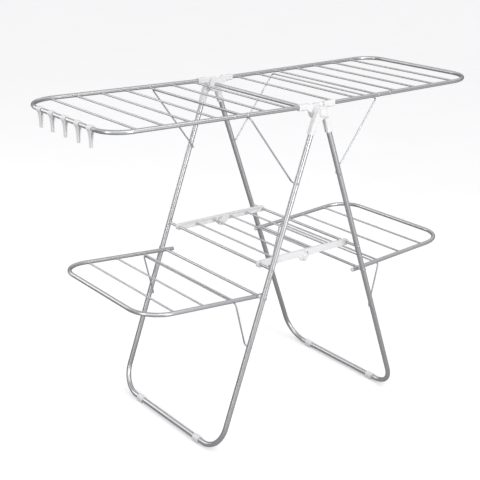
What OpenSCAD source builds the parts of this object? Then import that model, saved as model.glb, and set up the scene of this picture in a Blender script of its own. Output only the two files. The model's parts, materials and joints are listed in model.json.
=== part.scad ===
// Folding two-tier clothes drying rack with gull wings, a middle shelf and sock clips.
// Origin on the floor under the middle of the rack; X runs along the wings, Y along the rails, Z is up.
// The right-hand side is drawn at +X and mirrored for the left; the front is at -Y.

/* [Legs] */
// Height of the hub pivot above the floor
pivot_z = 936; // [900:1:970]
// Slope of each leg away from the vertical
leg_tilt = 19.4; // [18:0.1:21]
// Distance from the pivot axis to a leg's centreline
leg_offset = 13; // [12:0.5:14]
// Radius of the leg tube
leg_r = 7.5; // [7:0.1:8]
// Half width of the left leg frame, to the tube's centre
left_leg_y = 254.5; // [254:0.5:258]
// Half width of the right leg frame, to the tube's centre
right_leg_y = 250.5; // [250.5:0.5:251]
// Bend radius at the floor
leg_bend = 75; // [60:1:90]

/* [Upper wings] */
// Height of the wing tube's centreline above the pivot
wing_rise = 15; // [14:0.5:16]
// Upward slope of each wing
wing_tilt = 0.7; // [0:0.1:2]
// Pivot to the end bar's centreline
wing_len = 643; // [620:1:660]
// Half width of a wing, to the tube's centre
wing_y = 234; // [233.5:0.1:234]
// Radius of the wing tube
wing_r = 6; // [5.5:0.1:6]
// Bend radius of one outer corner: front left, and back right
wing_bend = 66; // [50:1:80]
// Bend radius of the rounder outer corner: back left, and front right
wing_wide_bend = 102; // [80:1:120]
// Pivot to the first rail
rail_start = 81; // [76:1:86]
// Distance between upper rails
rail_pitch = 78.8; // [70:0.1:80]

/* [Lower wings] */
// Distance down the leg to the lower wing's axle
low_at = 528.5; // [520:0.5:535]
// Upward slope of a lower wing
low_tilt = 3.8; // [0:0.1:6]
// Axle to the end bar's centreline
low_len = 366; // [350:1:380]
// Half width of a lower wing, to the tube's centre
low_y = 233; // [232:0.5:234]
// Bend radius of a lower wing's corners
low_bend = 82; // [60:1:85]
// Distance between lower rails
low_pitch = 94.5; // [90:0.5:96]

/* [Shelf] */
// Distance down the leg to the shelf's end rod
shelf_at = 446; // [440:0.5:450]
// Half distance between the shelf's side bars
shelf_y = 200; // [190:1:205]
// Height of a side bar
bar_h = 19; // [17:0.5:20]
// Distance between shelf rods
shelf_pitch = 64; // [62:0.5:65]

/* [Hidden] */

$fn = 48;
LEFT = -1;
RIGHT = 1;
FRONT = -1;
BACK = 1;
steel = [0.72, 0.73, 0.75];
plastic = [0.95, 0.95, 0.96];
wall = 0.8;
rail_r = 2.75;
rail_bore = 2.1;
wire_r = 2.25;
gap = 0.3;
running = 0.06;
// How far a drill runs on each side of the tube or plate that it goes through
drill = 10;

// Leg frame, measured from the pivot: tube from leg_top down to the floor bar
floor_z = 11;
leg_top = 30;
leg_len = (pivot_z + leg_offset * sin(leg_tilt) - floor_z) / cos(leg_tilt);
upper_foot_at = 202;
lower_foot_at = 670.5;
socket_end = 66;
socket_top = 26;
socket_half = 9.5;
socket_turn = 35;
socket_x0 = leg_offset - socket_half;
socket_x1 = leg_offset + socket_half;
screw_head_r = 3.2;
screw_head_h = 2;
screw_at = socket_end - 9;

// Hub layers along Y, from the inside out: right wing arm, left wing arm, right leg, left leg
hub_r = 17;
arm_r = 22;
arm_layers = [[226.5, 233.75], [234.25, 241.5]];
leg_layers = [[242, 249.2], [249.7, 264]];
bolt_r = 4;
bolt_grip = 22;
axle_r = 5.5;
axle_half = 226;
cap_r = 11.5;
cap_rim_h = 2;
cap_h = 3.5;
cap_step = 1.5;

// Wing arm: a block around the end of the wing tube
arm_start = 25;
arm_end = 63;
arm_half = 9;
arm_neck = 27;
arm_turn = 37;
tube_start = 31;
rail_count = 7;
rail_drop = 1.5;
// A strut's cross wire hangs just clear of the tube that it holds up
wire_clear = 0.8;
wire_drop = wing_r + wire_clear + wire_r;
band_at = [229.5, 272];
band_w = 6;
band_h = 0.5;

// Upper strut, from its foot on the leg to the cross wire under the wing
strut_y = 234;
strut_bend = 9;
foot_bend = 6;
upper_reach = 224;
peened = 1.2;

// Lower wing and its strut
low_r = 6;
low_inner = 26;
low_reach = 79;
low_rails = 3;
pin_r = 4;
head_w = 1.6;
spacer_r = 6.5;
plug_depth = 8;
plug_rim = 2;

// Shelf
rod_r = 4;
bar_t = 10;
layer_gap = 0.25;
knuckle_r = 13;
knuckle_drop = 12.5;
knuckle_web = 24;
bar_start = 14;
lip_h = 7;
skin = 1.5;
rivet_r = 2.5;
rivet_head_h = 1.4;
rivet_grip = 11;
tip_gap = 0.4;
knob_r = 9;
knob_h = 4.5;
knob_cap_r = 6.5;
knob_cap_h = 1.5;
knob_pin_tail = 1;

// Feet and clips
foot_y = 150;
foot_len = 26;
foot_wall = 2.5;
foot_base_w = 19;
clip_y = [112, 48, -21, -89, -151];
clip_w = 20;
clip_wall = 2.6;
prong_len = 42;
prong_inset = 4;
prong_shoulder = 1;
prong_root_out = 6.5;
prong_waist_out = 4.2;
prong_tip_out = 3.4;
prong_in = 1.6;
prong_tip_in = 0.7;

function leg_y(s) = s == LEFT ? left_leg_y : right_leg_y;
// Point on a leg's centreline, [x, z] in the rack's frame, for the right-hand side
function on_leg(at) = [leg_offset * cos(leg_tilt) + at * sin(leg_tilt),
                       pivot_z + leg_offset * sin(leg_tilt) - at * cos(leg_tilt)];
// Corner radii of an upper wing, [front, back]
function wing_bends(s) = s == LEFT ? [wing_bend, wing_wide_bend] : [wing_wide_bend, wing_bend];
// Distance from the middle to the inner side of an upper wing's tube, with a corner of radius bend
function inner_edge(bend, out) =
    wing_y - bend + sqrt(bend ^ 2 - max(0, out - wing_len + bend) ^ 2) - wing_r;
// Point in a wing's own plane, [out, up] from the pivot, taken to the rack's frame
function on_wing(out, up) = [out * cos(wing_tilt) - up * sin(wing_tilt),
                             pivot_z + out * sin(wing_tilt) + up * cos(wing_tilt)];
// The same for a lower wing, from its axle
function on_low(out, up) = on_leg(low_at)
    + [out * cos(low_tilt) - up * sin(low_tilt), out * sin(low_tilt) + up * cos(low_tilt)];

// ---------- Frames of reference ----------

module side(s) {
    mirror([s == LEFT ? 1 : 0, 0, 0]) children();
}

module end_of(e) {
    mirror([0, e == FRONT ? 1 : 0, 0]) children();
}

// Leg frame: origin at the pivot, X outward, Z up along the leg
module in_leg(s) {
    side(s) translate([0, 0, pivot_z]) rotate([0, -leg_tilt, 0]) children();
}

// Wing frame: origin at the pivot, X out along the wing
module in_wing(s) {
    side(s) translate([0, 0, pivot_z]) rotate([0, -wing_tilt, 0]) children();
}

// Lower wing frame: origin at the axle, X out along the wing
module in_low(s) {
    p = on_leg(low_at);
    side(s) translate([p[0], 0, p[1]]) rotate([0, -low_tilt, 0]) children();
}

// ---------- Basic shapes ----------

// Rod or pin along Y, between y0 and y1
module along_y(r, y0, y1, x = 0, z = 0) {
    translate([x, y0, z]) rotate([-90, 0, 0]) cylinder(r = r, h = y1 - y0);
}

// Rods for the front and the back at once
module both_ends(r, y0, y1, x = 0, z = 0) {
    along_y(r, y0, y1, x, z);
    along_y(r, -y1, -y0, x, z);
}

// A flat outline in the XZ plane, given thickness from y0 to y1
module plate(y0, y1) {
    translate([0, y1, 0]) rotate([90, 0, 0]) linear_extrude(y1 - y0) children();
}

module ring(r, bore) {
    difference() {
        circle(r);
        if (bore > 0) circle(bore);
    }
}

// Thin rail tube along Y, between y0 and y1
module rail(y0, y1, x, z) {
    translate([x, y1, z]) rotate([90, 0, 0]) linear_extrude(y1 - y0) ring(rail_r, rail_bore);
}

// U in the XY plane: legs along X from x = start, end bar along Y with its centreline at x = len;
// bends holds the radii of the front and the back corner
module u_bend(half, start, len, bends, r, bore) {
    for (k = [0, 1]) mirror([0, 1 - k, 0]) {
        translate([start, half, 0]) rotate([0, 90, 0])
            linear_extrude(len - bends[k] - start) ring(r, bore);
        translate([len - bends[k], half - bends[k], 0])
            rotate_extrude(angle = 90) translate([bends[k], 0]) ring(r, bore);
    }
    translate([len, half - bends[1], 0]) rotate([90, 0, 0])
        linear_extrude(2 * half - bends[0] - bends[1]) ring(r, bore);
}

// ---------- Hub ----------

module hub_axle_tube() {
    color(steel) translate([0, axle_half, pivot_z]) rotate([90, 0, 0])
        linear_extrude(2 * axle_half) ring(axle_r, bolt_r);
}

module hub_bolt(e) {
    seat = leg_layers[1][1] + gap;
    color(plastic) end_of(e) translate([0, 0, pivot_z]) {
        along_y(bolt_r, axle_half - bolt_grip, seat);
        along_y(cap_r, seat, seat + cap_rim_h);
        along_y(cap_r - cap_step, seat + cap_rim_h, seat + cap_h);
    }
}

// ---------- Legs ----------

module leg_frame(s) {
    y = leg_y(s);
    color(steel) in_leg(s) translate([leg_offset, 0, 0]) difference() {
        rotate([0, 90, 0]) u_bend(y, leg_top, leg_len, [leg_bend, leg_bend], leg_r, leg_r - wall);
        both_ends(wire_r + running, y - drill, y + drill, 0, -upper_foot_at);
        both_ends(wire_r + running, y - drill, y + drill, 0, -lower_foot_at);
        both_ends(rivet_r, y - drill, y + drill, 0, -shelf_at);
        both_ends(pin_r, y - drill, y + drill, 0, -low_at);
    }
}

// Socket over the top of a leg tube, with its own hinge disc in the hub's stack
module leg_socket(s, e) {
    y = leg_y(s);
    layer = leg_layers[s == LEFT ? 1 : 0];
    inner = max(y - socket_half, leg_layers[0][0]);
    color(plastic) in_leg(s) end_of(e) difference() {
        union() {
            plate(layer[0], layer[1]) {
                circle(hub_r);
                polygon([hub_r * [-cos(socket_turn), -sin(socket_turn)], [hub_r, 0],
                         [socket_x1, -socket_half], [socket_x1, -leg_top], [socket_x0, -leg_top]]);
            }
            plate(inner, y + socket_half)
                translate([socket_x0, -socket_end]) square([2 * socket_half, socket_end - socket_top]);
        }
        along_y(bolt_r + running, layer[0] - drill, layer[1] + drill);
        translate([leg_offset, y, -socket_end - drill])
            cylinder(r = leg_r, h = socket_end + drill - leg_top);
    }
}

// Screws that hold the sockets on the leg tubes, driven from the inner side
module socket_screws(s) {
    color(steel) in_leg(s) for (k = [-1, 1])
        translate([socket_x0 - screw_head_h, k * leg_y(s), -screw_at]) rotate([0, 90, 0])
            cylinder(r = screw_head_r, h = screw_head_h);
}

// Sleeve around the floor bar with a flat pad below
module foot(s, e) {
    p = on_leg(leg_len);
    color(plastic) side(s) end_of(e) translate([p[0], 0, 0])
        plate(foot_y - foot_len / 2, foot_y + foot_len / 2) difference() {
            union() {
                translate([0, floor_z]) circle(leg_r + foot_wall);
                translate([-foot_base_w / 2, 0]) square([foot_base_w, floor_z]);
            }
            translate([0, floor_z]) circle(leg_r);
        }
}

// Rivets through the leg tubes; the left pair is the hinge of the shelf's end rod
module shelf_rivets(s) {
    y = leg_y(s);
    inner = y - leg_r - (s == LEFT ? rivet_grip : -wall / 2);
    color(steel) in_leg(s) {
        both_ends(rivet_r, inner, y + leg_r, leg_offset, -shelf_at);
        both_ends(rivet_r + head_w, y + leg_r, y + leg_r + rivet_head_h, leg_offset, -shelf_at);
    }
}

module lower_axle(s) {
    y = leg_y(s);
    color(steel) in_leg(s) {
        along_y(pin_r, -y - leg_r, y + leg_r, leg_offset, -low_at);
        both_ends(pin_r + head_w, y + leg_r, y + leg_r + head_w, leg_offset, -low_at);
    }
}

module axle_spacers(s) {
    p = on_leg(low_at);
    y0 = low_y + low_r + gap;
    h = leg_y(s) - leg_r - y0;
    color(plastic) side(s) for (k = [-1, 1])
        translate([p[0], k > 0 ? y0 + h : -y0, p[1]]) rotate([90, 0, 0])
            linear_extrude(h) ring(spacer_r, pin_r);
}

// ---------- Upper wings ----------

module upper_tube(s) {
    color(steel) in_wing(s) translate([0, 0, wing_rise])
        u_bend(wing_y, tube_start, wing_len, wing_bends(s), wing_r, wing_r - wall);
}

// The last rail meets the tube inside the rounder bend, so it is shorter at that end
module upper_rails(s) {
    bends = wing_bends(s);
    color(steel) in_wing(s) for (i = [0:rail_count - 1]) {
        out = rail_start + i * rail_pitch;
        rail(-inner_edge(bends[0], out + rail_r), inner_edge(bends[1], out + rail_r),
             out, wing_rise - rail_drop);
    }
}

// Arm that holds a wing tube's end and turns on the hub bolt
module wing_arm(s, e) {
    layer = arm_layers[s == LEFT ? 1 : 0];
    top = wing_rise + arm_half;
    bottom = wing_rise - arm_half;
    color(plastic) in_wing(s) end_of(e) difference() {
        union() {
            plate(layer[0], layer[1]) {
                circle(arm_r);
                polygon([[0, arm_r], [arm_neck, top], [arm_neck, bottom],
                         arm_r * [cos(arm_turn), -sin(arm_turn)]]);
            }
            plate(arm_layers[0][0], arm_layers[1][1])
                translate([arm_start, bottom]) square([arm_end - arm_start, 2 * arm_half]);
        }
        along_y(bolt_r + running, layer[0] - drill, layer[1] + drill);
        translate([tube_start, wing_y, wing_rise]) rotate([0, 90, 0]) cylinder(r = wing_r, h = arm_end);
    }
}

// Bands on the wing tube that mark the strut's two positions
module notch_bands(s) {
    color(steel) in_wing(s) for (k = [-1, 1], out = band_at)
        translate([out, k * wing_y, wing_rise]) rotate([0, 90, 0])
            linear_extrude(band_w) ring(wing_r + band_h, wing_r);
}

// ---------- Struts ----------

// Bent wire: cross wire at the far end, feet turned outward through the leg's holes
module strut(s, foot, tip) {
    reach = norm(tip - foot);
    slope = atan2(tip[1] - foot[1], tip[0] - foot[0]);
    outside = leg_y(s) + leg_r + gap;
    color(steel) side(s) translate([foot[0], 0, foot[1]]) rotate([0, -slope, 0]) {
        u_bend(strut_y, foot_bend, reach, [strut_bend, strut_bend], wire_r, 0);
        for (k = [-1, 1]) mirror([0, k < 0 ? 1 : 0, 0]) {
            translate([foot_bend, strut_y + foot_bend, 0]) rotate([0, 0, 180])
                rotate_extrude(angle = 90) translate([foot_bend, 0]) circle(wire_r);
            along_y(wire_r, strut_y + foot_bend, outside);
            along_y(wire_r + peened, outside, outside + peened);
        }
    }
}

module upper_strut(s) {
    strut(s, on_leg(upper_foot_at), on_wing(upper_reach, wing_rise - wire_drop));
}

module lower_strut(s) {
    strut(s, on_leg(lower_foot_at), on_low(low_reach, -wire_drop));
}

// ---------- Lower wings ----------

module lower_tube(s) {
    color(steel) in_low(s) difference() {
        u_bend(low_y, -low_inner, low_len, [low_bend, low_bend], low_r, low_r - wall);
        both_ends(pin_r + running, low_y - drill, low_y + drill);
    }
}

module lower_rails(s) {
    half = low_y - low_r;
    color(steel) in_low(s) for (i = [1:low_rails])
        rail(-half, half, low_len - i * low_pitch, -rail_drop);
}

// Plugs in the open ends of the lower wing tube
module lower_plugs(s) {
    color(plastic) in_low(s) for (k = [-1, 1]) translate([-low_inner, k * low_y, 0]) rotate([0, -90, 0]) {
        translate([0, 0, -plug_depth]) cylinder(r = low_r - wall, h = plug_depth);
        cylinder(r = low_r, h = plug_rim);
    }
}

// ---------- Middle shelf ----------

// Side bar with its knuckle; the two halves overlap in layers at the middle knob
module shelf_bar(s, e) {
    end = on_leg(shelf_at);
    half_t = bar_t / 2;
    half_h = bar_h / 2;
    layer = s == LEFT ? [layer_gap, half_t] : [-half_t, -layer_gap];
    color(plastic) side(s) end_of(e) translate([0, shelf_y, end[1]]) difference() {
        union() {
            plate(layer[0], layer[1]) {
                translate([0, -knuckle_drop]) circle(knuckle_r);
                polygon([[0, 0], [knuckle_web, half_h], [knuckle_web, -half_h],
                         [knuckle_web / 2, -knuckle_drop - rod_r]]);
            }
            plate(-half_t, half_t) {
                translate([bar_start, -half_h]) square([end[0] - bar_start, bar_h]);
                translate([gap, half_h - lip_h]) square([bar_start, lip_h]);
                translate([end[0], 0]) circle(half_h);
            }
        }
        along_y(rod_r, -drill, drill, end[0]);
        along_y(rivet_r + (s == RIGHT ? running : 0), -drill, drill, 0, -knuckle_drop);
        for (k = [0.5, 1.5]) along_y(rail_r, -drill, half_t - skin, k * shelf_pitch);
    }
}

// End rod that reaches the legs, and the two thin rods between the side bars
module shelf_rods(s) {
    end = on_leg(shelf_at);
    tip = leg_y(s) - leg_r - tip_gap;
    thin = shelf_y + bar_t / 2 - skin;
    color(steel) side(s) translate([0, 0, end[1]]) {
        difference() {
            along_y(rod_r, -tip, tip, end[0]);
            if (s == LEFT) both_ends(rivet_r + running, tip - rivet_grip - gap, tip + drill, end[0]);
        }
        for (k = [0.5, 1.5]) along_y(rail_r, -thin, thin, k * shelf_pitch);
    }
}

// Knob over the middle knuckles, with the pin that joins them
module shelf_knob(e) {
    end = on_leg(shelf_at);
    outer = shelf_y + bar_t / 2;
    color(plastic) end_of(e) translate([0, 0, end[1] - knuckle_drop]) {
        along_y(rivet_r, shelf_y - bar_t / 2 - knob_pin_tail, outer);
        along_y(knob_r, outer, outer + knob_h);
        along_y(knob_cap_r, outer + knob_h, outer + knob_h + knob_cap_h);
    }
}

// ---------- Sock clips ----------

// Sleeve on the left end bar with two springy prongs below, which part at the mouth of the clip
module sock_clip(i) {
    half = clip_w / 2;
    root = -wing_r;
    waist = root - prong_len / 3;
    tip = root - prong_len;
    color(plastic) in_wing(LEFT) translate([wing_len, clip_y[i], wing_rise]) difference() {
        union() {
            along_y(wing_r + clip_wall, -half, half);
            plate(prong_inset - half, half - prong_inset) for (k = [-1, 1])
                polygon([[k * prong_in, root], [k * prong_root_out, root - prong_shoulder],
                         [k * prong_waist_out, waist], [k * prong_tip_out, tip],
                         [k * prong_tip_in, tip], [k * prong_in, waist]]);
        }
        along_y(wing_r + running, -clip_w, clip_w);
    }
}

// ---------- Drawing ----------

hub_axle_tube();
hub_bolt(FRONT);  // front_hub_bolt
hub_bolt(BACK);  // back_hub_bolt
leg_frame(LEFT);  // left_leg_frame
leg_socket(LEFT, FRONT);  // left_front_leg_socket
leg_socket(LEFT, BACK);  // left_back_leg_socket
socket_screws(LEFT);  // left_socket_screws
foot(LEFT, FRONT);  // left_front_foot
foot(LEFT, BACK);  // left_back_foot
shelf_rivets(LEFT);  // left_shelf_rivets
lower_axle(LEFT);  // left_lower_axle
axle_spacers(LEFT);  // left_axle_spacers
leg_frame(RIGHT);  // right_leg_frame
leg_socket(RIGHT, FRONT);  // right_front_leg_socket
leg_socket(RIGHT, BACK);  // right_back_leg_socket
socket_screws(RIGHT);  // right_socket_screws
foot(RIGHT, FRONT);  // right_front_foot
foot(RIGHT, BACK);  // right_back_foot
shelf_rivets(RIGHT);  // right_shelf_rivets
lower_axle(RIGHT);  // right_lower_axle
axle_spacers(RIGHT);  // right_axle_spacers
upper_tube(LEFT);  // left_upper_tube
upper_rails(LEFT);  // left_upper_rails
wing_arm(LEFT, FRONT);  // left_front_wing_arm
wing_arm(LEFT, BACK);  // left_back_wing_arm
notch_bands(LEFT);  // left_notch_bands
upper_tube(RIGHT);  // right_upper_tube
upper_rails(RIGHT);  // right_upper_rails
wing_arm(RIGHT, FRONT);  // right_front_wing_arm
wing_arm(RIGHT, BACK);  // right_back_wing_arm
notch_bands(RIGHT);  // right_notch_bands
upper_strut(LEFT);  // left_upper_strut
upper_strut(RIGHT);  // right_upper_strut
lower_tube(LEFT);  // left_lower_tube
lower_rails(LEFT);  // left_lower_rails
lower_plugs(LEFT);  // left_lower_plugs
lower_tube(RIGHT);  // right_lower_tube
lower_rails(RIGHT);  // right_lower_rails
lower_plugs(RIGHT);  // right_lower_plugs
lower_strut(LEFT);  // left_lower_strut
lower_strut(RIGHT);  // right_lower_strut
shelf_bar(LEFT, FRONT);  // left_front_shelf_bar
shelf_bar(LEFT, BACK);  // left_back_shelf_bar
shelf_rods(LEFT);  // left_shelf_rods
shelf_knob(FRONT);  // front_shelf_knob
shelf_knob(BACK);  // back_shelf_knob
shelf_bar(RIGHT, FRONT);  // right_front_shelf_bar
shelf_bar(RIGHT, BACK);  // right_back_shelf_bar
shelf_rods(RIGHT);  // right_shelf_rods
sock_clip(0);  // sock_clip_1
sock_clip(1);  // sock_clip_2
sock_clip(2);  // sock_clip_3
sock_clip(3);  // sock_clip_4
sock_clip(4);  // sock_clip_5
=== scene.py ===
"""Looks of a folding two-level clothes drying rack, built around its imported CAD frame.

Moulded and turned pieces are drawn in millimetres in the frame of the part that they sit on
(X outward, Y along the rails, Z up) and then placed at the frame's joints, in metres.
"""
import json
import math

import bmesh
import bpy
from mathutils import Matrix, Vector


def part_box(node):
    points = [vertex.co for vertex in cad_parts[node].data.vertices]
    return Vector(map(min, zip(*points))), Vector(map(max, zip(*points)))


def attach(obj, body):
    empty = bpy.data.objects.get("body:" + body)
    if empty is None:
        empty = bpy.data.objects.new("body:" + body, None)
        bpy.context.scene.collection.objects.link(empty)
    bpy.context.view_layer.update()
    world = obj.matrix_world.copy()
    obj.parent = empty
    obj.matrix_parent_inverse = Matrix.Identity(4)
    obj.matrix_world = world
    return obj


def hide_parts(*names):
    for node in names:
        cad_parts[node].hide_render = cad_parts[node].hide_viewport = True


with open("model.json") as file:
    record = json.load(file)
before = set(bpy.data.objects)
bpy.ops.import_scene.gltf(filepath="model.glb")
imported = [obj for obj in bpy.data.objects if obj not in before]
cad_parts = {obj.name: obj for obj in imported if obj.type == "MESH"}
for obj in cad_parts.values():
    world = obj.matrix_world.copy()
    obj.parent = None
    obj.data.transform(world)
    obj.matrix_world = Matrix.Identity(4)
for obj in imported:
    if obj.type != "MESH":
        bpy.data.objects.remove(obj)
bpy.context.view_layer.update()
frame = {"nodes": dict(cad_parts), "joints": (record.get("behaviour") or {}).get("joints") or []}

# ---------- Where things are, from the frame ----------

MM = 0.001
JOINTS = {j["name"]: Vector(j["pos_m"]) for j in frame["joints"]}
NODES = frame["nodes"]
SIDES = {"left": -1, "right": 1}
ENDS = {"front": -1, "back": 1}

PIVOT = JOINTS["right_upper_wing_fold"]
LEG_UP = (JOINTS["right_upper_strut_fold"] - JOINTS["right_lower_strut_fold"]).normalized()
LEG_TILT = math.atan2(-LEG_UP.x, LEG_UP.z)
# Each wing rises a little towards its outer end.
WING_TILT = math.radians(0.7)
LOW_TILT = math.radians(3.8)
SHELF_Z = JOINTS["left_shelf_fold"].z
FLOOR_BAR_X = (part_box("right_front_foot")[0].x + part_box("right_front_foot")[1].x) / 2


def part_frame(origin, tilt, side, end=1):
    """Millimetres in a part's own frame to metres in the rack's. The left side and the front are mirrored."""
    out = Vector((side * math.cos(tilt), 0, math.sin(tilt)))
    up = Vector((-side * math.sin(tilt), 0, math.cos(tilt)))
    place = Matrix((out, (0, end, 0), up)).transposed().to_4x4()
    origin = Vector((side * abs(origin.x), origin.y, origin.z))
    return Matrix.Translation(origin) @ place @ Matrix.Scale(MM, 4)


def leg_frame(side, end=1):
    return part_frame(PIVOT, LEG_TILT, side, end)


def wing_frame(side, end=1):
    return part_frame(PIVOT, WING_TILT, side, end)


def low_frame(side, end=1):
    return part_frame(JOINTS["right_lower_wing_fold"], LOW_TILT, side, end)


def shelf_frame(side, end=1):
    return part_frame(Vector((0, 0, SHELF_Z)), 0, side, end)


# ---------- Camera, light and floor ----------

def make_camera():
    azimuth = math.radians(-37.1)
    elevation = math.radians(19.3)
    roll = math.radians(0.4)
    target = Vector((-0.151, -0.098, 0.559))
    distance = 2.955
    back = Vector((math.sin(azimuth) * math.cos(elevation), -math.cos(azimuth) * math.cos(elevation),
                   math.sin(elevation)))
    data = bpy.data.cameras.new("camera")
    data.lens = 78.2
    data.sensor_width = 36
    camera = bpy.data.objects.new("camera", data)
    camera.location = target + back * distance
    turn = (-back).to_track_quat("-Z", "Y").to_matrix().to_4x4() @ Matrix.Rotation(roll, 4, "Z")
    camera.rotation_euler = turn.to_euler()
    bpy.context.scene.collection.objects.link(camera)
    bpy.context.scene.camera = camera


def area_light(name, place, aim, size, power):
    data = bpy.data.lights.new(name, "AREA")
    data.shape = "RECTANGLE"
    data.size, data.size_y = size
    data.energy = power
    lamp = bpy.data.objects.new(name, data)
    lamp.location = place
    lamp.rotation_euler = (Vector(aim) - Vector(place)).to_track_quat("-Z", "Y").to_euler()
    bpy.context.scene.collection.objects.link(lamp)


# The room in reflections, by height: the horizon is 0 and straight up is 1.
ROOM_TONES = [(0.0, (0.12, 0.12, 0.125)), (0.25, (0.26, 0.26, 0.27)), (0.5, (0.95, 0.95, 0.97)),
              (0.68, (0.72, 0.72, 0.73)), (1.0, (0.42, 0.42, 0.43))]
PALE_GROUND = (0.98, 0.98, 0.985, 1)


def make_world():
    """Seen directly the studio is plain and pale; in reflections it is brightest halfway up."""
    world = bpy.data.worlds.new("studio")
    world.use_nodes = True
    nodes, links = world.node_tree.nodes, world.node_tree.links
    nodes["Background"].inputs["Color"].default_value = PALE_GROUND
    room = nodes.new("ShaderNodeBackground")
    height = nodes.new("ShaderNodeSeparateXYZ")
    links.new(nodes.new("ShaderNodeTexCoord").outputs["Generated"], height.inputs["Vector"])
    links.new(ramp(nodes, links, height.outputs["Z"], ROOM_TONES), room.inputs["Color"])
    mix = nodes.new("ShaderNodeMixShader")
    links.new(nodes.new("ShaderNodeLightPath").outputs["Is Camera Ray"], mix.inputs["Fac"])
    links.new(room.outputs["Background"], mix.inputs[1])
    links.new(nodes["Background"].outputs["Background"], mix.inputs[2])
    links.new(mix.outputs["Shader"], nodes["World Output"].inputs["Surface"])
    bpy.context.scene.world = world


def soft_sun():
    """A very wide, weak light from the front left, for soft shadows and white plastic."""
    data = bpy.data.lights.new("overhead", "SUN")
    data.energy = 0.75
    data.angle = math.radians(75)
    sun = bpy.data.objects.new("overhead", data)
    sun.rotation_euler = Vector((0.45, 0.7, -0.75)).to_track_quat("-Z", "Y").to_euler()
    bpy.context.scene.collection.objects.link(sun)


def make_studio():
    make_world()
    bpy.context.scene.view_settings.view_transform = "Standard"
    middle = (0, 0, 0.6)
    area_light("key", place=(0.35, -3.3, 0.95), aim=middle, size=(0.7, 1.8), power=30)
    area_light("top", place=(0.4, -1.6, 3.0), aim=middle, size=(2.4, 0.7), power=12)
    area_light("fill", place=(-3.2, -1.0, 1.3), aim=(0, 0, 0.5), size=(0.5, 1.8), power=15)
    area_light("rim", place=(-1.9, 2.8, 1.5), aim=middle, size=(1.2, 1.8), power=12)
    soft_sun()
    bm = bmesh.new()
    bmesh.ops.create_circle(bm, cap_ends=True, segments=96, radius=40)
    floor = to_object("studio_floor", bm)
    floor.data.materials.append(floor_paint())


# ---------- Materials ----------

def node_tree(name):
    material = bpy.data.materials.new(name)
    material.use_nodes = True
    return material, material.node_tree.nodes, material.node_tree.links


def noise(nodes, links, coords, scale, detail, stretch=(1, 1, 1)):
    mapping = nodes.new("ShaderNodeMapping")
    mapping.inputs["Scale"].default_value = stretch
    links.new(coords, mapping.inputs["Vector"])
    texture = nodes.new("ShaderNodeTexNoise")
    texture.inputs["Scale"].default_value = scale
    texture.inputs["Detail"].default_value = detail
    links.new(mapping.outputs["Vector"], texture.inputs["Vector"])
    return texture.outputs["Fac"]


def ramp(nodes, links, value, stops):
    node = nodes.new("ShaderNodeValToRGB")
    while len(node.color_ramp.elements) < len(stops):
        node.color_ramp.elements.new(0.5)
    for element, (at, color) in zip(node.color_ramp.elements, stops):
        element.position = at
        element.color = (*color, 1)
    links.new(value, node.inputs["Fac"])
    return node.outputs["Color"]


def spread(nodes, links, value, low, high):
    node = nodes.new("ShaderNodeMapRange")
    node.inputs["To Min"].default_value = low
    node.inputs["To Max"].default_value = high
    links.new(value, node.inputs["Value"])
    return node.outputs["Result"]


def bump(nodes, links, height, strength, distance, under=None):
    node = nodes.new("ShaderNodeBump")
    node.inputs["Strength"].default_value = strength
    node.inputs["Distance"].default_value = distance
    links.new(height, node.inputs["Height"])
    if under:
        links.new(under, node.inputs["Normal"])
    return node.outputs["Normal"]


def coated_steel(name, tone, roughness, flake=0.035):
    """Silver paint with fine metal flakes, a faint orange-peel, and glossier and duller places."""
    material, nodes, links = node_tree(name)
    shader = nodes["Principled BSDF"]
    coords = nodes.new("ShaderNodeTexCoord").outputs["Object"]
    flakes = noise(nodes, links, coords, scale=2600, detail=1.0)
    clouds = noise(nodes, links, coords, scale=9, detail=4.0)
    rubbed = noise(nodes, links, coords, scale=38, detail=5.0)
    ripples = noise(nodes, links, coords, scale=500, detail=2.0)
    mix = nodes.new("ShaderNodeMix")
    mix.data_type = "RGBA"
    mix.blend_type = "MULTIPLY"
    mix.inputs["Factor"].default_value = 1.0
    low = tone * (1 - flake)
    high = tone * (1 + flake)
    paint = ramp(nodes, links, flakes, [(0.3, (low, low, low * 1.01)), (0.7, (high, high, high * 1.02))])
    shade = ramp(nodes, links, clouds, [(0.3, (0.95, 0.95, 0.955)), (0.75, (1, 1, 1))])
    links.new(paint, mix.inputs["A"])
    links.new(shade, mix.inputs["B"])
    links.new(mix.outputs["Result"], shader.inputs["Base Color"])
    links.new(spread(nodes, links, rubbed, roughness - 0.03, roughness + 0.05), shader.inputs["Roughness"])
    shader.inputs["Metallic"].default_value = 0.9
    shader.inputs["Coat Weight"].default_value = 0.2
    shader.inputs["Coat Roughness"].default_value = 0.2
    peel = bump(nodes, links, ripples, strength=0.03, distance=0.0002)
    sparkle = bump(nodes, links, flakes, strength=0.025, distance=0.00003, under=peel)
    links.new(sparkle, shader.inputs["Normal"])
    return material


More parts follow.
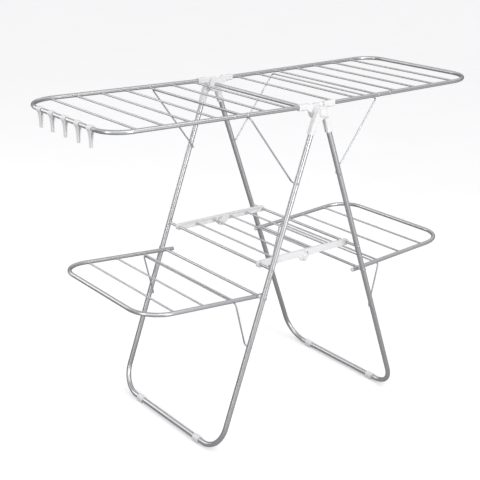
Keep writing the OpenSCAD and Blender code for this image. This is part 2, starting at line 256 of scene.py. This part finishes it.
def moulded_plastic(name, tone, roughness, warmth=0.0):
    """White moulded plastic: fine spark texture, faint flow marks and slightly dusty patches."""
    material, nodes, links = node_tree(name)
    shader = nodes["Principled BSDF"]
    coords = nodes.new("ShaderNodeTexCoord").outputs["Object"]
    flow = noise(nodes, links, coords, scale=14, detail=5.0, stretch=(1, 1, 0.25))
    grain = noise(nodes, links, coords, scale=2200, detail=2.0)
    dust = noise(nodes, links, coords, scale=60, detail=6.0)
    light = (tone, tone * (1 - warmth / 2), tone * (1 - warmth))
    dark = tuple(c * 0.955 for c in light)
    dusty = tuple(c * 0.9 for c in light)
    mix = nodes.new("ShaderNodeMix")
    mix.data_type = "RGBA"
    links.new(spread(nodes, links, dust, -0.35, 0.55), mix.inputs["Factor"])
    links.new(ramp(nodes, links, flow, [(0.3, dark), (0.7, light)]), mix.inputs["A"])
    mix.inputs["B"].default_value = (*dusty, 1)
    mix.clamp_factor = True
    links.new(mix.outputs["Result"], shader.inputs["Base Color"])
    links.new(spread(nodes, links, dust, roughness - 0.06, roughness + 0.08), shader.inputs["Roughness"])
    shader.inputs["Specular IOR Level"].default_value = 0.5
    shader.inputs["Subsurface Weight"].default_value = 0.08
    shader.inputs["Subsurface Radius"].default_value = (0.004, 0.004, 0.004)
    shader.inputs["Subsurface Scale"].default_value = 1.0
    sink = bump(nodes, links, flow, strength=0.06, distance=0.0006)
    spark = bump(nodes, links, grain, strength=0.09, distance=0.00006, under=sink)
    links.new(spark, shader.inputs["Normal"])
    return material


# The floor in reflections, from behind the rack (0) to in front of it (1).
FLOOR_TONES = [(0.0, (0.06, 0.06, 0.065)), (0.5, (0.24, 0.24, 0.245)), (1.0, (0.55, 0.55, 0.56))]


def floor_paint():
    """White paint; in reflections and bounced light it is darker, and darkest behind the rack."""
    material, nodes, links = node_tree("floor_paint")
    shader = nodes["Principled BSDF"]
    coords = nodes.new("ShaderNodeTexCoord").outputs["Object"]
    place = nodes.new("ShaderNodeSeparateXYZ")
    links.new(coords, place.inputs["Vector"])
    depth = nodes.new("ShaderNodeMapRange")
    depth.inputs["From Min"].default_value = 0.3
    depth.inputs["From Max"].default_value = -1.6
    links.new(place.outputs["Y"], depth.inputs["Value"])
    mix = nodes.new("ShaderNodeMix")
    mix.data_type = "RGBA"
    links.new(nodes.new("ShaderNodeLightPath").outputs["Is Camera Ray"], mix.inputs["Factor"])
    links.new(ramp(nodes, links, depth.outputs["Result"], FLOOR_TONES), mix.inputs["A"])
    patches = noise(nodes, links, coords, scale=3, detail=4.0)
    links.new(ramp(nodes, links, patches, [(0.3, (0.94,) * 3), (0.7, (0.96,) * 3)]), mix.inputs["B"])
    links.new(mix.outputs["Result"], shader.inputs["Base Color"])
    shader.inputs["Roughness"].default_value = 0.75
    shader.inputs["Emission Color"].default_value = (1, 1, 1, 1)
    shader.inputs["Emission Strength"].default_value = 0.2
    return material


# ---------- Outlines, in a plane, as (x, z) ----------

def arc(x, z, radius, start, stop, steps=12):
    turns = [math.radians(start + (stop - start) * i / steps) for i in range(steps + 1)]
    return [(x + radius * math.cos(t), z + radius * math.sin(t)) for t in turns]


def circle(x, z, radius, steps=48):
    return arc(x, z, radius, 0, 360, steps)[:-1]


def box_outline(x0, z0, x1, z1, radius):
    """A rectangle with round corners, from its low right corner round."""
    left, right, low, high = x0 + radius, x1 - radius, z0 + radius, z1 - radius
    corners = [(right, low), (right, high), (left, high), (left, low)]
    return [point for i, (x, z) in enumerate(corners) for point in arc(x, z, radius, 90 * (i - 1), 90 * i, 6)]


def wrap(*circles):
    """The outline of a band pulled round some circles (x, z, radius)."""
    points = sorted({(round(x, 5), round(z, 5)) for c in circles for x, z in circle(*c)})

    def half(items):
        chain = []
        for p in items:
            while len(chain) > 1 and ((chain[-1][0] - chain[-2][0]) * (p[1] - chain[-2][1])
                                      - (chain[-1][1] - chain[-2][1]) * (p[0] - chain[-2][0])) <= 1e-9:
                chain.pop()
            chain.append(p)
        return chain[:-1]
    return half(points) + half(points[::-1])


# ---------- Solids, in millimetres ----------

def prism(outline, y0, y1, edge=0.0, steps=3):
    """An outline in XZ given thickness along Y, with both rims rounded by edge."""
    bm = bmesh.new()
    rims = [[bm.verts.new((x, y, z)) for x, z in outline] for y in (y0, y1)]
    bm.faces.new(rims[0])
    bm.faces.new(rims[1][::-1])
    count = len(outline)
    for i in range(count):
        k = (i + 1) % count
        bm.faces.new((rims[0][i], rims[1][i], rims[1][k], rims[0][k]))
    bmesh.ops.recalc_face_normals(bm, faces=bm.faces)
    if edge:
        loops = [bm.edges.get((rim[i], rim[(i + 1) % count])) for rim in rims for i in range(count)]
        bmesh.ops.bevel(bm, geom=loops, offset=edge, segments=steps, profile=0.5, affect="EDGES",
                        clamp_overlap=True)
    return bm


def turned(profile, steps=40, hollow=False):
    """A turned solid about Y from points (radius, y): closed on the axis at both ends, or a hollow ring."""
    bm = bmesh.new()
    rings = []
    for radius, y in profile:
        if radius == 0:
            rings.append([bm.verts.new((0, y, 0))])
            continue
        rings.append([bm.verts.new((radius * math.cos(2 * math.pi * i / steps), y,
                                    radius * math.sin(2 * math.pi * i / steps))) for i in range(steps)])
    if hollow:
        rings.append(rings[0])
    for a, b in zip(rings, rings[1:]):
        for i in range(steps):
            k = (i + 1) % steps
            ring = [a[i % len(a)], a[k % len(a)], b[k % len(b)], b[i % len(b)]]
            corners = list(dict.fromkeys(ring))
            bm.faces.new(corners)
    bmesh.ops.recalc_face_normals(bm, faces=bm.faces)
    return bm


def dome(radius, y0, y1, neck=None, neck_y=None, steps=6):
    """Profile of a round head: flat underside at y0, crown at y1, and a shank back to neck_y."""
    shank = [(0, neck_y), (neck, neck_y), (neck, y0)] if neck else [(0, y0)]
    crown = [(radius * math.cos(math.pi / 2 * i / steps), y0 + (y1 - y0) * math.sin(math.pi / 2 * i / steps))
             for i in range(steps)]
    return shank + crown + [(0, y1)]


def moved(bm, x=0, y=0, z=0, turn=None):
    if turn:
        bmesh.ops.transform(bm, matrix=turn, verts=bm.verts)
    bmesh.ops.translate(bm, vec=(x, y, z), verts=bm.verts)
    return bm


Y_TO_X = Matrix.Rotation(math.radians(-90), 4, "Z")
Y_TO_MINUS_X = Matrix.Rotation(math.radians(90), 4, "Z")
Y_TO_Z = Matrix.Rotation(math.radians(90), 4, "X")


def prism_x(outline, x0, x1, edge=0.0, steps=3):
    """An outline given as (y, z), with thickness along X."""
    return moved(prism([(-y, z) for y, z in outline], x0, x1, edge, steps), turn=Y_TO_X)


def prism_z(outline, z0, z1, edge=0.0, steps=3):
    """An outline given as (x, y), with thickness along Z."""
    return moved(prism([(x, -y) for x, y in outline], z0, z1, edge, steps), turn=Y_TO_Z)


def to_object(name, bm):
    mesh = bpy.data.meshes.new(name)
    bm.to_mesh(mesh)
    bm.free()
    obj = bpy.data.objects.new(name, mesh)
    bpy.context.scene.collection.objects.link(obj)
    return obj


def fused(solids, cuts=()):
    """One closed mesh from overlapping solids, less the cuts."""
    base = to_object("base", solids[0])
    tools = [(to_object("tool", bm), "UNION") for bm in solids[1:]]
    tools += [(to_object("tool", bm), "DIFFERENCE") for bm in cuts]
    for tool, operation in tools:
        step = base.modifiers.new(operation, "BOOLEAN")
        step.operation, step.object, step.solver = operation, tool, "EXACT"
    shape = base.evaluated_get(bpy.context.evaluated_depsgraph_get()).to_mesh()
    bm = bmesh.new()
    bm.from_mesh(shape)
    bmesh.ops.remove_doubles(bm, verts=bm.verts, dist=0.002)
    for obj in [base] + [tool for tool, _ in tools]:
        bpy.data.objects.remove(obj)
    return bm


def several(*solids):
    """Separate solids as one mesh."""
    whole = bmesh.new()
    for bm in solids:
        part = bpy.data.meshes.new("part")
        bm.to_mesh(part)
        bm.free()
        whole.from_mesh(part)
        bpy.data.meshes.remove(part)
    return whole


def piece(name, bm, place, material, body, slot, *stands_for, crease=32):
    """Places a solid in the rack, shades it and gives it to a body."""
    bmesh.ops.transform(bm, matrix=place, verts=bm.verts)
    if place.determinant() < 0:
        bmesh.ops.reverse_faces(bm, faces=bm.faces)
    for face in bm.faces:
        face.smooth = True
    for edge in bm.edges:
        edge.smooth = edge.calc_face_angle(0) < math.radians(crease)
    obj = to_object(name, bm)
    obj.data.materials.append(material)
    normals = obj.modifiers.new("normals", "WEIGHTED_NORMAL")
    normals.keep_sharp = True
    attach(obj, body)
    if stands_for:
        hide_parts(*stands_for)
    return obj


# ---------- Sizes of the moulded parts, in millimetres ----------

# Hub: radius of the bolt's shank, which every disc turns on, and how deep the shank reaches into the axle
BOLT_R = 4
BOLT_END = 204

# Upper wing: its tube from the middle of the rack, over the pivot, and its radius and length
WING_Y = 234
WING_RISE = 15
WING_R = 6
WING_LEN = 643
# Corner radii of the wing tube: one outer corner of each wing is rounder than the other.
WING_BEND = 66
WING_WIDE_BEND = 102
WIDE_END = {"left": "back", "right": "front"}
RAIL_START = 81
RAIL_PITCH = 78.8
RAIL_DROP = 1.5
WELD_BORE = 2.6
BAND_AT = (229.5, 272)

# Leg: its tube from the middle of the rack, out of the pivot's line, and its radius
LEG_Y = {"left": 254.5, "right": 250.5}
LEG_X = 13
LEG_R = 7.5
FLOOR_BAR_Z = 11
# The screw on a socket's inward face: its height from the pivot, and its seat from the tube's axis
SCREW_Z = -57
SCREW_SEAT = 9.6

# The discs on the hub bolt, from the inside out: where each layer starts and ends
ARM_LAYER = {"left": (234.25, 241.5), "right": (226.5, 233.75)}
ARM_Y = (226.5, 241.5)
LEG_LAYER = {"left": (249.7, 264), "right": (242, 249.2)}
SOCKET_Y = {"left": (245, 264), "right": (242, 260)}

# Shelf: its bars from the middle of the rack, their thickness and half their height, and the knuckle
SHELF_Y = 200
SHELF_T = 10
BAR_HALF = 9.5
KNUCKLE_DROP = 12.5
SHELF_END = abs(JOINTS["left_shelf_fold"].x) / MM
SHELF_AT = 446
THIN_RODS = (32, 96)

# Lower wing: its axle down the leg, its length, rail spacing, tube place, and how far it reaches inward
LOW_AT = 528.5
LOW_LEN = 366
LOW_PITCH = 94.5
LOW_Y = 233
LOW_INNER = 26

# Sock clips: their places along the end bar
CLIP_Y = (112, 48, -21, -89, -151)


# ---------- Hub ----------

def hub_bolt(name, end, plastic):
    """Hub bolt under a cap with a raised, slightly dished middle."""
    disc = LEG_LAYER["left"][1]
    seat, top = disc + 0.3, disc + 3.8
    shank = [(0, BOLT_END), (BOLT_R, BOLT_END), (BOLT_R, seat)]
    rim = [(11.1, seat), (11.5, seat + 0.5), (11.5, seat + 1.6), (11, seat + 2.2), (9.9, seat + 2.3)]
    groove = [(9.7, seat + 2.1), (9.2, seat + 2.1), (9, seat + 2.6), (8.4, seat + 3.2)]
    crown = [(6.5, top - 0.05), (4.2, top), (3.4, top - 0.2), (3.1, top - 0.9), (0, top - 1)]
    piece(f"{name}_hub_cap", turned(shank + rim + groove + crown, 56), part_frame(PIVOT, 0, 1, end), plastic,
          "hub", "plastic", f"{name}_hub_bolt")


def bolt_hole(y0, y1):
    return prism(circle(0, 0, BOLT_R + 0.06, 32), y0 - 1, y1 + 1)


def wing_arm(side_name, end_name, plastic):
    """Disc on the hub bolt and a sleeve round the end of the wing tube."""
    y0, y1 = ARM_LAYER[side_name]
    inner, outer = ARM_Y
    low, high = WING_RISE - 8.6, WING_RISE + 8.6
    disc = prism(circle(0, 0, 22, 56), y0, y1, 1.0)
    neck = prism(wrap((4, 4, 15), (34, WING_RISE, 8)), y0 + 0.1, y1 - 0.1, 0.9)
    sleeve = prism_x(box_outline(inner + 0.2, low, outer - 0.2, high, 4), 25, 62.5, 1.4)
    collar = prism_x(box_outline(inner, low - 0.4, outer, high + 0.4, 4.4), 57.5, 63, 0.8)
    boss = prism_z(circle(46, (inner + outer) / 2, 4.4, 28), low - 1.2, low + 3, 0.5)
    bore = prism_x(circle(WING_Y, WING_RISE, WING_R + 0.1, 40), 33, 70)
    bm = fused([disc, neck, sleeve, collar, boss], [bore, bolt_hole(y0, y1)])
    piece(f"{side_name}_{end_name}_arm", bm, wing_frame(SIDES[side_name], ENDS[end_name]), plastic,
          f"{side_name}_upper_wing", "plastic", f"{side_name}_{end_name}_wing_arm")


def leg_socket(side_name, end_name, plastic):
    """Disc on the hub bolt and a sleeve round the top of the leg tube; a ring is cut into the outer one."""
    y0, y1 = LEG_LAYER[side_name]
    s0, s1 = SOCKET_Y[side_name]
    head = prism(wrap((0, 0, 17), (LEG_X, -26, 8.8)), y0, y1, 1.2)
    sleeve = prism_z(box_outline(LEG_X - 8.8, s0 + 0.2, LEG_X + 8.8, s1 - 0.2, 4.5), -65.5, -24, 1.4)
    collar = prism_z(box_outline(LEG_X - 9.3, s0, LEG_X + 9.3, s1, 4.9), -66, -60, 0.8)
    boss = prism_x(circle(LEG_Y[side_name], SCREW_Z, 4.6, 28), LEG_X - SCREW_SEAT, LEG_X - 6, 0.4)
    bore = prism_z(circle(LEG_X, LEG_Y[side_name], LEG_R + 0.08, 40), -80, -32)
    bm = fused([head, sleeve, collar, boss], [bore, bolt_hole(y0, y1)])
    if side_name == "left":
        groove = [(13.3, y1 - 0.9), (14.6, y1 - 0.9), (14.6, y1 + 1), (13.3, y1 + 1)]
        bm = fused([bm], [turned(groove, 48, True)])
    piece(f"{side_name}_{end_name}_socket", bm, leg_frame(SIDES[side_name], ENDS[end_name]), plastic,
          f"{side_name}_leg", "plastic", f"{side_name}_{end_name}_leg_socket")


def cross_screw(radius, height):
    """A pan-head screw along +Y from y = 0, with a cross recess."""
    head = turned(dome(radius, 0, height, radius * 0.55, -2))
    long, wide, floor = radius * 0.62, 0.42, height * 0.45
    slots = [prism(box_outline(-x, -z, x, z, 0.2), floor, height + 1)
             for x, z in ((long, wide), (wide, long))]
    return fused([head], slots)


def socket_screws(side_name, metal):
    heads = [moved(cross_screw(3.2, 1.9), LEG_X - SCREW_SEAT, end * LEG_Y[side_name], SCREW_Z, Y_TO_MINUS_X)
             for end in ENDS.values()]
    piece(f"{side_name}_screws", several(*heads), leg_frame(SIDES[side_name]), metal, f"{side_name}_leg",
          "zinc", f"{side_name}_socket_screws")


# ---------- Legs ----------

def foot(side_name, end_name, plastic):
    """Sleeve round the floor bar, on a pad with grooves across its sole."""
    low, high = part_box(f"{side_name}_{end_name}_foot")
    middle = abs(low.y + high.y) / 2 / MM
    half = (high.y - low.y) / 2 / MM
    y0, y1 = middle - half, middle + half
    sleeve = prism(circle(0, FLOOR_BAR_Z, LEG_R + 2.5, 48), y0, y1, 1.4, 4)
    pad = prism(box_outline(-9.5, 0, 9.5, FLOOR_BAR_Z, 1.6), y0 + 2, y1 - 2, 1.2)
    cheek = prism(wrap((0, FLOOR_BAR_Z, LEG_R + 1.4), (-6.5, 5, 3), (6.5, 5, 3)), y0 + 4, y1 - 4, 0.8)
    grips = [prism(box_outline(x - 0.6, -1, x + 0.6, 0.7, 0.3), y0, y1) for x in (-6, -3, 0, 3, 6)]
    bore = prism(circle(0, FLOOR_BAR_Z, LEG_R + 0.05, 40), y0 - 2, y1 + 2)
    place = part_frame(Vector((FLOOR_BAR_X, 0, 0)), 0, SIDES[side_name], ENDS[end_name])
    piece(f"{side_name}_{end_name}_foot_sleeve", fused([sleeve, pad, cheek], [bore] + grips), place, plastic,
          f"{side_name}_leg", "plastic", f"{side_name}_{end_name}_foot")


def along_leg(profile, down, end=1, hollow=False):
    """A turned solid across the leg frame at a distance down the leg, on the back (1) or the front (-1)."""
    bm = turned([(radius, end * y) for radius, y in profile], hollow=hollow)
    return moved(bm, LEG_X, 0, -down)


def shelf_rivets(side_name, metal):
    """Round rivet heads on the outer faces of both leg tubes; the left shanks are the shelf's hinge pins."""
    outer = LEG_Y[side_name] + LEG_R
    past_tube = -11 if side_name == "left" else 0.4
    profile = dome(4.1, outer - 0.1, outer + 1.4, 2.5, outer - 2 * LEG_R + past_tube)
    rivets = [along_leg(profile, SHELF_AT, end) for end in ENDS.values()]
    piece(f"{side_name}_rivets", several(*rivets), leg_frame(SIDES[side_name]), metal, f"{side_name}_leg",
          "zinc", f"{side_name}_shelf_rivets")


def lower_axle(side_name, metal):
    """Lower wing's axle, with a low head outside each leg tube."""
    outer = LEG_Y[side_name] + LEG_R
    half = [(4, outer), (5.4, outer), (5.6, outer + 0.25), (5.6, outer + 0.9), (5.2, outer + 1.3),
            (4.2, outer + 1.6), (2.6, outer + 1.6), (2, outer + 1.1), (0, outer + 1)]
    profile = [(radius, -y) for radius, y in reversed(half)] + half
    piece(f"{side_name}_lower_pin", along_leg(profile, LOW_AT), leg_frame(SIDES[side_name]), metal,
          f"{side_name}_leg", "steel", f"{side_name}_lower_axle")


def axle_spacers(side_name, plastic):
    y0, y1 = 239.3, LEG_Y[side_name] - LEG_R
    profile = [(4.05, y0), (6, y0), (6.5, y0 + 0.5), (6.5, y1 - 0.5), (6, y1), (4.05, y1)]
    rings = [along_leg(profile, LOW_AT, end, True) for end in ENDS.values()]
    piece(f"{side_name}_spacers", several(*rings), leg_frame(SIDES[side_name]), plastic, f"{side_name}_leg",
          "plastic", f"{side_name}_axle_spacers")


# ---------- Wings ----------

def weld_collar(x, edge, z, end):
    """A small flared weld where a rail meets the inner side of a wing tube."""
    profile = [(WELD_BORE, edge - 3.2), (2.8, edge - 3.2), (2.95, edge - 2), (3.4, edge - 0.9),
               (4.1, edge - 0.1), (4.2, edge + 0.5), (WELD_BORE, edge + 0.5)]
    return moved(turned([(radius, end * y) for radius, y in profile], 24, True), x, 0, z)


def inner_edge(out, bend):
    """Distance from the middle to the inner side of an upper wing's tube, with a corner of that radius."""
    past = max(0, out - WING_LEN + bend)
    return WING_Y - bend + math.sqrt(bend ** 2 - past ** 2) - WING_R


def upper_welds(side_name, metal):
    collars = []
    for out in (RAIL_START + i * RAIL_PITCH for i in range(7)):
        for end_name, end in ENDS.items():
            bend = WING_WIDE_BEND if end_name == WIDE_END[side_name] else WING_BEND
            collars.append(weld_collar(out, inner_edge(out, bend), WING_RISE - RAIL_DROP, end))
    piece(f"{side_name}_upper_welds", several(*collars), wing_frame(SIDES[side_name]), metal,
          f"{side_name}_upper_wing", "steel")


def lower_welds(side_name, metal):
    collars = [weld_collar(LOW_LEN - i * LOW_PITCH, LOW_Y - WING_R, -RAIL_DROP, end)
               for i in (1, 2, 3) for end in ENDS.values()]
    piece(f"{side_name}_lower_welds", several(*collars), low_frame(SIDES[side_name]), metal,
          f"{side_name}_lower_wing", "steel")


def notch_bands(side_name, metal):
    """Rolled beads on the wing tube, one on each side of the strut's wire."""
    profile = [(5.9, 0), (6.02, 0), (6.35, 0.6), (6.5, 1.6), (6.5, 4.4), (6.35, 5.4), (6.02, 6), (5.9, 6)]
    bands = [moved(turned(profile, 40, True), x, end * WING_Y, WING_RISE, Y_TO_X)
             for x in BAND_AT for end in ENDS.values()]
    piece(f"{side_name}_bands", several(*bands), wing_frame(SIDES[side_name]), metal,
          f"{side_name}_upper_wing", "zinc", f"{side_name}_notch_bands")


def lower_plugs(side_name, plastic):
    """Domed plugs in the inner ends of the lower wing's tube."""
    stem = [(0, -8), (4.6, -8), (5.15, -7), (5.15, 0)]
    head = [(5.8, 0), (6, 0.3), (6, 0.8), (5.6, 1.5), (4.4, 1.9), (0, 2)]
    plugs = [moved(turned(stem + head), -LOW_INNER, end * LOW_Y, 0, Y_TO_MINUS_X) for end in ENDS.values()]
    piece(f"{side_name}_plugs", several(*plugs), low_frame(SIDES[side_name]), plastic,
          f"{side_name}_lower_wing", "plastic", f"{side_name}_lower_plugs")


# ---------- Middle shelf ----------

def shelf_bar(side_name, end_name, plastic):
    """Bar with an eye on the end rod, a ribbed hollow inner side, and a flat knuckle under the knob."""
    y0, y1 = SHELF_Y - SHELF_T / 2, SHELF_Y + SHELF_T / 2
    layer = (SHELF_Y + 0.25, y1) if side_name == "left" else (y0, SHELF_Y - 0.25)
    outline = (arc(SHELF_END, 0, BAR_HALF, -90, 90, 24) + arc(16, BAR_HALF - 2, 2, 90, 180, 6)
               + arc(16, 2 - BAR_HALF, 2, 180, 270, 6))
    bar = prism(outline, y0, y1, 1.3)
    knuckle = prism(wrap((0, -KNUCKLE_DROP, 13), (22, 0, 8)), *layer, 0.8)
    lip = prism(box_outline(0.3, 2.5, 20, BAR_HALF, 1.4), y0, y1, 0.8)
    pocket = prism(box_outline(22, 3.4 - BAR_HALF, 148, BAR_HALF - 3.4, 2.5), y0 - 1, y0 + 3.5)
    rib_x = sum(THIN_RODS) / len(THIN_RODS)
    rib = prism(box_outline(rib_x - 0.9, 1 - BAR_HALF, rib_x + 0.9, BAR_HALF - 1, 0.3), y0 + 0.5, y0 + 4.5)
    bosses = [prism(circle(x, 0, 5.2, 32), y0 + 0.3, y0 + 4.5, 0.4) for x in THIN_RODS]
    bores = [prism(circle(SHELF_END, 0, 4.1, 36), y0 - 1, y1 + 1),
             prism(circle(0, -KNUCKLE_DROP, 2.56, 28), y0 - 1, y1 + 1)]
    bores += [prism(circle(x, 0, 2.8, 28), y0 - 1, y1 - 1.5) for x in THIN_RODS]
    bm = fused([fused([bar, lip], [pocket]), knuckle, rib] + bosses, bores)
    piece(f"{side_name}_{end_name}_bar", bm, shelf_frame(SIDES[side_name], ENDS[end_name]), plastic,
          f"{side_name}_shelf", "plastic", f"{side_name}_{end_name}_shelf_bar")


def shelf_knob(end_name, plastic):
    """Round knob with a ring groove and a crowned middle, on the pin of the knuckle."""
    face = SHELF_Y + SHELF_T / 2
    pin = [(0, 194), (2.5, 194), (2.5, face)]
    rim = [(8.5, face), (9, face + 0.5), (9, face + 3.6), (8.5, face + 4.3), (7.7, face + 4.5)]
    groove = [(7.3, face + 4.1), (6.9, face + 4.1), (6.5, face + 4.5), (6.3, face + 5.5)]
    crown = [(5.7, face + 5.9), (4.6, face + 6), (3.8, face + 5.6), (3.2, face + 5.1), (0, face + 5)]
    bm = moved(turned(pin + rim + groove + crown, 48), z=-KNUCKLE_DROP)
    piece(f"{end_name}_knob", bm, shelf_frame(1, ENDS[end_name]), plastic, "left_shelf", "plastic",
          f"{end_name}_shelf_knob")


# ---------- Sock clips ----------

def sock_clip(number, y, plastic):
    """A springy sleeve, open below, whose two prongs meet at a toothed mouth."""
    outer = [(5.2, -9), (5, -13), (4.6, -18), (4, -24), (3.7, -32), (3.5, -40), (3.5, -45), (2.9, -47.6),
             (2.2, -48)]
    tip = [(1.3, -48), (0.7, -47), (0.6, -45)]
    teeth = [point for z in (-44, -42, -40) for point in ((1.1, z), (0.6, z + 1))]
    inner = [(1, -36), (1.3, -30), (1.5, -24), (2, -18), (2.6, -13), (2.9, -9)]
    right = outer + tip + teeth + inner
    left = [(-x, z) for x, z in reversed(right)]
    outline = right + arc(0, 0, 6.06, -60, 240, 40) + left + arc(0, 0, 8.6, 230, -50, 40)
    bm = prism(outline, -10, 10, 0.7, 2)
    for vert in bm.verts:
        # Below the sleeve the prongs are quickly narrower than it, then taper to their tips.
        down = min(max((-6 - vert.co.z) / 42, 0), 1)
        vert.co.y *= 1 - 0.4 * min(down * 6, 1) - 0.15 * down
    piece(f"clip_{number}", moved(bm, WING_LEN, y, WING_RISE), wing_frame(SIDES["left"]), plastic,
          f"sock_clip_{number}", "clip_plastic", f"sock_clip_{number}")


# ---------- The whole rack ----------

def look_for(name, tube, wire, zinc, plastic, clip_plastic):
    """The material of a CAD node, from the words in its name."""
    if any(word in name for word in ("tube", "frame", "axle")) and "spacers" not in name:
        return tube
    if any(word in name for word in ("rails", "strut", "rods")):
        return wire
    if any(word in name for word in ("screws", "rivets", "bands")):
        return zinc
    return clip_plastic if "clip" in name else plastic


def make_rack():
    tube = coated_steel("silver_tube", tone=0.6, roughness=0.27)
    wire = coated_steel("silver_wire", tone=0.6, roughness=0.27, flake=0.02)
    zinc = coated_steel("zinc", tone=0.66, roughness=0.24, flake=0.05)
    plastic = moulded_plastic("white_plastic", tone=0.84, roughness=0.42)
    clip_plastic = moulded_plastic("clip_plastic", tone=0.88, roughness=0.32, warmth=0.01)
    for name, node in NODES.items():
        node.data.materials.clear()
        node.data.materials.append(look_for(name, tube, wire, zinc, plastic, clip_plastic))
    for end_name, end in ENDS.items():
        hub_bolt(end_name, end, plastic)
    for side_name in SIDES:
        for end_name in ENDS:
            wing_arm(side_name, end_name, plastic)
            leg_socket(side_name, end_name, plastic)
            foot(side_name, end_name, plastic)
            shelf_bar(side_name, end_name, plastic)
        socket_screws(side_name, zinc)
        shelf_rivets(side_name, zinc)
        lower_axle(side_name, tube)
        axle_spacers(side_name, plastic)
        upper_welds(side_name, wire)
        lower_welds(side_name, wire)
        notch_bands(side_name, tube)
        lower_plugs(side_name, plastic)
    for end_name in ENDS:
        shelf_knob(end_name, plastic)
    for number, y in enumerate(CLIP_Y, 1):
        sock_clip(number, y, clip_plastic)


make_camera()
make_studio()
make_rack()
